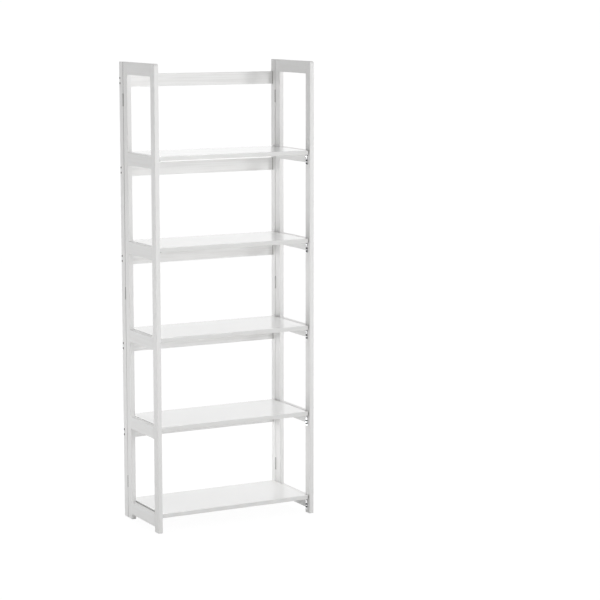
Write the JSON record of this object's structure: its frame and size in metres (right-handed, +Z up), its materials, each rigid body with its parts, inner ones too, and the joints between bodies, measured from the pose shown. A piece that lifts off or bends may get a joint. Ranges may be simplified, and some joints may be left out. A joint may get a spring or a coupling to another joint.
{
  "type": "folding bookcase",
  "caption": "Tall open bookcase of white lacquered wood: ladder-like side frames hinged to a back frame, with shelves that flip up so that it folds flat.",
  "frame": {"origin": "on the floor, in the middle of the footprint of the open bookcase", "axes": "+X to the right seen from the front, +Y to the back, +Z up"},
  "size_m": [0.605, 0.29, 1.6],
  "materials": {
    "lacquered_wood": "white satin lacquer",
    "lacquered_board": "white satin lacquer",
    "beech_dowel": "bare",
    "dark_steel": "dark oxide",
    "bright_steel": "zinc plated"
  },
  "bodies": {
    "back_frame": {"left_back_post": "lacquered_wood", "right_back_post": "lacquered_wood", "back_rail_1": "lacquered_wood", "back_rail_2": "lacquered_wood", "back_rail_3": "lacquered_wood", "back_rail_4": "lacquered_wood", "back_rail_5": "lacquered_wood", "left_rail_screws": "dark_steel", "right_rail_screws": "dark_steel", "left_shelf_pivot_pins": "bright_steel", "right_shelf_pivot_pins": "bright_steel", "left_post_hinge_leaves": "dark_steel", "right_post_hinge_leaves": "dark_steel", "left_post_hinge_screws": "dark_steel", "right_post_hinge_screws": "dark_steel", "left_hinge_pins": "dark_steel", "right_hinge_pins": "dark_steel"},
    "left_side": {"left_front_stile": "lacquered_wood", "left_rear_stile": "lacquered_wood", "left_side_rail_1": "lacquered_wood", "left_side_rail_2": "lacquered_wood", "left_side_rail_3": "lacquered_wood", "left_side_rail_4": "lacquered_wood", "left_side_rail_5": "lacquered_wood", "left_side_rail_6": "lacquered_wood", "left_side_dowels": "beech_dowel", "left_frame_hinge_leaves": "dark_steel", "left_frame_hinge_screws": "dark_steel", "left_shelf_catches": "bright_steel", "left_catch_screws": "dark_steel"},
    "right_side": {"right_front_stile": "lacquered_wood", "right_rear_stile": "lacquered_wood", "right_side_rail_1": "lacquered_wood", "right_side_rail_2": "lacquered_wood", "right_side_rail_3": "lacquered_wood", "right_side_rail_4": "lacquered_wood", "right_side_rail_5": "lacquered_wood", "right_side_rail_6": "lacquered_wood", "right_side_dowels": "beech_dowel", "right_frame_hinge_leaves": "dark_steel", "right_frame_hinge_screws": "dark_steel", "right_shelf_catches": "bright_steel", "right_catch_screws": "dark_steel"},
    "shelf_1": {"shelf_board_1": "lacquered_board"},
    "shelf_2": {"shelf_board_2": "lacquered_board"},
    "shelf_3": {"shelf_board_3": "lacquered_board"},
    "shelf_4": {"shelf_board_4": "lacquered_board"},
    "shelf_5": {"shelf_board_5": "lacquered_board"}
  },
  "joints": [
    {"name": "shelf_1_flip", "type": "hinge", "parent": "back_frame", "child": "shelf_1", "pos_m": [0, 0.125, 1.2847], "axis": [-1, 0, 0], "range_deg": [0, 90]},
    {"name": "shelf_2_flip", "type": "hinge", "parent": "back_frame", "child": "shelf_2", "pos_m": [0, 0.125, 0.9769], "axis": [-1, 0, 0], "range_deg": [0, 90]},
    {"name": "shelf_3_flip", "type": "hinge", "parent": "back_frame", "child": "shelf_3", "pos_m": [0, 0.125, 0.6691], "axis": [-1, 0, 0], "range_deg": [0, 90]},
    {"name": "shelf_4_flip", "type": "hinge", "parent": "back_frame", "child": "shelf_4", "pos_m": [0, 0.125, 0.3613], "axis": [-1, 0, 0], "range_deg": [0, 90]},
    {"name": "shelf_5_flip", "type": "hinge", "parent": "back_frame", "child": "shelf_5", "pos_m": [0, 0.125, 0.0585], "axis": [-1, 0, 0], "range_deg": [0, 90]},
    {"name": "left_side_swing", "type": "hinge", "parent": "back_frame", "child": "left_side", "pos_m": [-0.2865, 0.11365, 0.8], "axis": [0, 0, 1], "range_deg": [0, 0.5]},
    {"name": "right_side_swing", "type": "hinge", "parent": "back_frame", "child": "right_side", "pos_m": [0.2865, 0.11365, 0.8], "axis": [0, 0, -1], "range_deg": [0, 0.5]}
  ]
}
